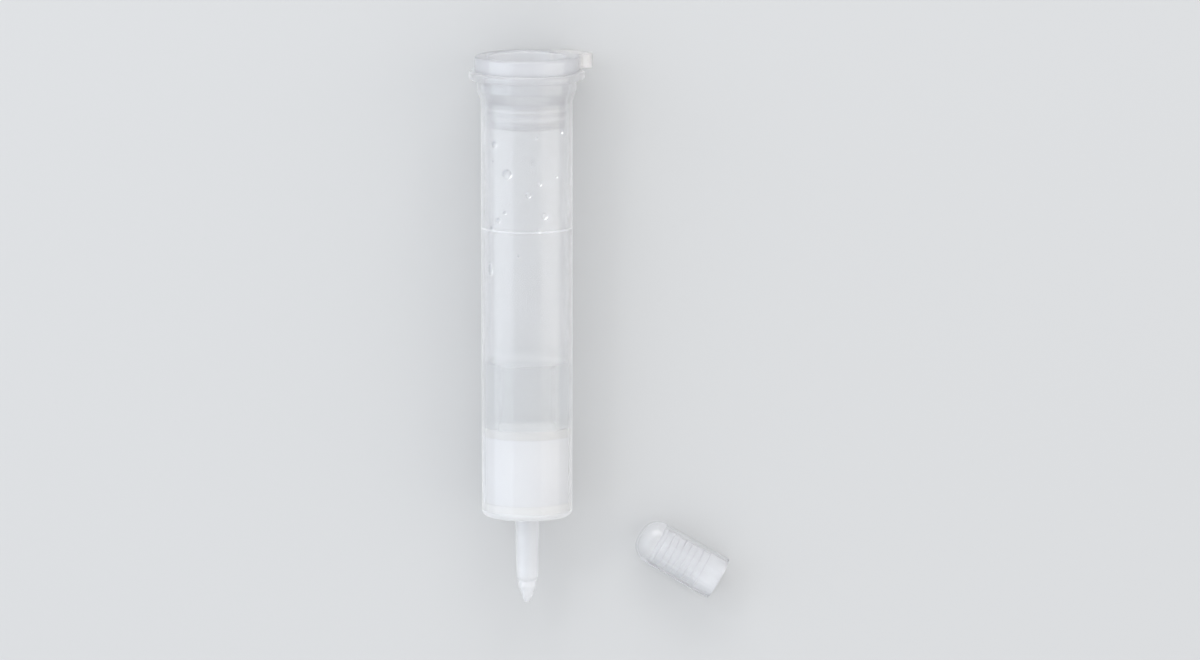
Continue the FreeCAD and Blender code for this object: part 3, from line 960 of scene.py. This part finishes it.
def makeLooseCap():
    c = looseCap
    corners = [
        (0, 0, 0),
        (c["mouthRadius"], 0, c["mouthRounding"]),
        (c["noseRadius"], c["length"], c["noseRounding"]),
        (0, c["length"], 0),
    ]
    piece = turnPiece("looseOutletCap", softOutline(corners, arcSteps=c["outlineSteps"]),
                      c["sides"])
    flatWays = [Vector((math.cos(turn), math.sin(turn), 0))
                for turn in (2 * math.pi * number / c["flats"] for number in range(c["flats"]))]
    for out in flatWays:
        only(piece)
        bpy.ops.object.mode_set(mode="EDIT")
        bpy.ops.mesh.select_all(action="SELECT")
        bpy.ops.mesh.bisect(plane_co=out * c["flatDistance"] * mm, plane_no=out,
                            use_fill=True, clear_outer=True, threshold=c["cutTolerance"])
        bpy.ops.object.mode_set(mode="OBJECT")

    only(piece)
    bpy.ops.object.mode_set(mode="EDIT")
    bpy.ops.mesh.select_all(action="SELECT")
    bpy.ops.mesh.remove_doubles(threshold=c["weld"] * mm)
    bpy.ops.object.mode_set(mode="OBJECT")

    def isFlat(face):
        alongFlat = any(out.dot(face.normal) > 0.9999 for out in flatWays)
        return alongFlat and len(face.vertices) > c["flatHasCorners"]

    selectWhere(piece, "FACE", isFlat)
    bpy.ops.mesh.inset(thickness=c["edgeSoftening"] * mm, use_even_offset=False)
    bpy.ops.mesh.select_all(action="SELECT")
    bpy.ops.mesh.bisect(plane_co=(0, 0, (c["boreDepth"] + c["cutBeyondBore"]) * mm),
                        plane_no=(0, 0, 1), threshold=c["cutTolerance"])
    bpy.ops.object.mode_set(mode="OBJECT")
    boreCorners = [
        (0, c["drillStart"], 0),
        (c["entry"], c["drillStart"], 0),
        (c["entry"], c["entryDepth"], 0),
        (c["bore"], c["entryDepth"] + 0.1, 0),
    ]
    for number in range(c["rings"]):
        foot = c["entryDepth"] + c["ringPitch"] * (number + 1)
        boreCorners += [
            (c["bore"], foot, 0),
            (c["bore"] + c["ringDepth"], foot + c["ringHeight"] / 2, 0),
            (c["bore"], foot + c["ringHeight"], 0),
        ]
    boreCorners += [(c["bore"], c["boreDepth"], c["boreRounding"]), (0, c["boreDepth"], 0)]
    drill = turnPiece("outletCapDrill", softOutline(boreCorners), c["drillSides"])
    applyModifier(piece, "BOOLEAN", operation="DIFFERENCE", object=drill, solver="EXACT")
    bpy.data.objects.remove(drill)
    smooth(piece, 30)
    return piece


# The cap lies where its solid lies: its mouth and direction are those of its bore.
def looseCapMatrix():
    bore = mounts["outlet_cap_bore"]
    mouthWay = Vector(bore["axis"]).normalized()
    noseWay = -mouthWay
    down = Vector((0, 0, -1))
    side = noseWay.cross(down)
    turn = Matrix((down, side, noseWay)).transposed()
    mouth = Vector(bore["pos_m"]) + mouthWay * looseCap["mountDepth"] * mm
    return Matrix.Translation(mouth) @ turn.to_4x4()


capLook = {
    "clear": (0.91, 0.915, 0.935), "cloudy": (0.86, 0.87, 0.89), "cloudSize": 0.3,
    "roughness": 0.16, "roughnessRange": 0.08, "bump": 0.2,
    "transmission": 0.8, "refraction": 1.49, "sheen": 0.0,
}
capNoseLook = dict(capLook, transmission=0.7)
capBoreLook = dict(capLook, transmission=0.5)


# The body is clearer than the solid nose, and the rings of the bore show through it.
def capPlace(face, centre, across):
    c = looseCap
    if across < c["entry"] + 5 * onSurface and centre.z < c["boreDepth"] + onSurface:
        return "bore"
    return "nose" if centre.z > c["boreDepth"] + c["cutBeyondBore"] / 2 else "body"


lyingCap = looseCapMatrix()
looseOutletCap = makeLooseCap()
paintFaces(looseOutletCap, {
    "body": plasticMaterial("outletCapBody", lyingCap, capLook),
    "nose": plasticMaterial("outletCapNose", lyingCap, capNoseLook),
    "bore": plasticMaterial("outletCapBore", lyingCap, capBoreLook),
}, capPlace)
layDown(looseOutletCap, lyingCap)
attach(looseOutletCap, "column")
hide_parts("bottom_cap")
print("loose cap done")

# Floor, lights and camera, in metres
studio = {
    "floorColour": (0.28, 0.284, 0.288), "floorRoughness": 0.85, "floorSize": 6.0,
    "floorGlowColour": (0.96, 0.98, 1.0), "floorGlow": 0.275,
    "skyColour": (0.95, 0.97, 1.0), "skyStrength": 0.7,
}
# Each lamp: name, place, size, power in watts and colour.
lamps = [
    ("leftSoftbox", (-0.75, 0.1, 0.34), (0.9, 1.1), 5.4, (0.88, 0.93, 1.0)),
    ("rightSoftbox", (0.8, -0.05, 0.34), (0.8, 1.1), 4.0, (1.0, 0.945, 0.885)),
    ("overheadStrip", (0.0, -0.18, 1.3), (1.5, 0.45), 1.6, (0.97, 0.985, 1.0)),
    ("lidLight", (0.0, 0.85, 0.42), (0.9, 0.5), 6.4, (1.0, 0.99, 0.98)),
    ("footLight", (0.0, -0.75, 0.58), (2.0, 0.6), 3.6, (1.0, 0.99, 0.98)),
    ("sparkleLight", (-0.45, 0.5, 0.7), (0.12, 0.12), 0.8, (1.0, 1.0, 1.0)),
]
view = {
    "distance": 1.9, "elevation": 7.3, "frameHeight": 0.119,
    "pictureWidth": 1200, "pictureHeight": 660,
    "sensorWidth": 36.0, "clipStart": 0.01, "clipEnd": 20.0,
}


def makeFloor():
    startFresh()
    bpy.ops.mesh.primitive_plane_add(size=studio["floorSize"], location=(0, 0, 0))
    floor = bpy.context.object
    floor.name = "paleFloor"
    material, tree, surface = freshMaterial("paleFloorCard")
    setInputs(surface, {
        "Base Color": (*studio["floorColour"], 1),
        "Roughness": studio["floorRoughness"],
        "Emission Color": (*studio["floorGlowColour"], 1),
        "Emission Strength": studio["floorGlow"],
    })
    floor.data.materials.append(material)


def makeLamps(target):
    for name, place, size, watts, colour in lamps:
        light = bpy.data.lights.new(name, "AREA")
        light.shape = "RECTANGLE"
        light.size, light.size_y = size
        light.energy = watts
        light.color = colour
        holder = bpy.data.objects.new(name, light)
        bpy.context.collection.objects.link(holder)
        holder.location = place
        holder.rotation_euler = (target - Vector(place)).to_track_quat("-Z", "Y").to_euler()
    world = bpy.data.worlds.new("studioSky")
    world.use_nodes = True
    setInputs(world.node_tree.nodes["Background"], {
        "Color": (*studio["skyColour"], 1),
        "Strength": studio["skyStrength"],
    })
    bpy.context.scene.world = world


def makeCamera(target):
    lens = bpy.data.cameras.new("camera")
    holder = bpy.data.objects.new("camera", lens)
    bpy.context.collection.objects.link(holder)
    tilt = math.radians(view["elevation"])
    holder.location = target + Vector((0, math.sin(tilt), math.cos(tilt))) * view["distance"]
    holder.rotation_euler = Euler((-tilt, 0, 0))
    frameWidth = view["frameHeight"] * view["pictureWidth"] / view["pictureHeight"]
    lens.sensor_width = view["sensorWidth"]
    lens.lens = lens.sensor_width * view["distance"] / frameWidth
    lens.clip_start = view["clipStart"]
    lens.clip_end = view["clipEnd"]
    bpy.context.scene.camera = holder


middle = (cadBox[0] + cadBox[1]) / 2
makeFloor()
makeLamps(middle)
makeCamera(middle)
bpy.context.scene.view_settings.view_transform = "Standard"
print("studio done")
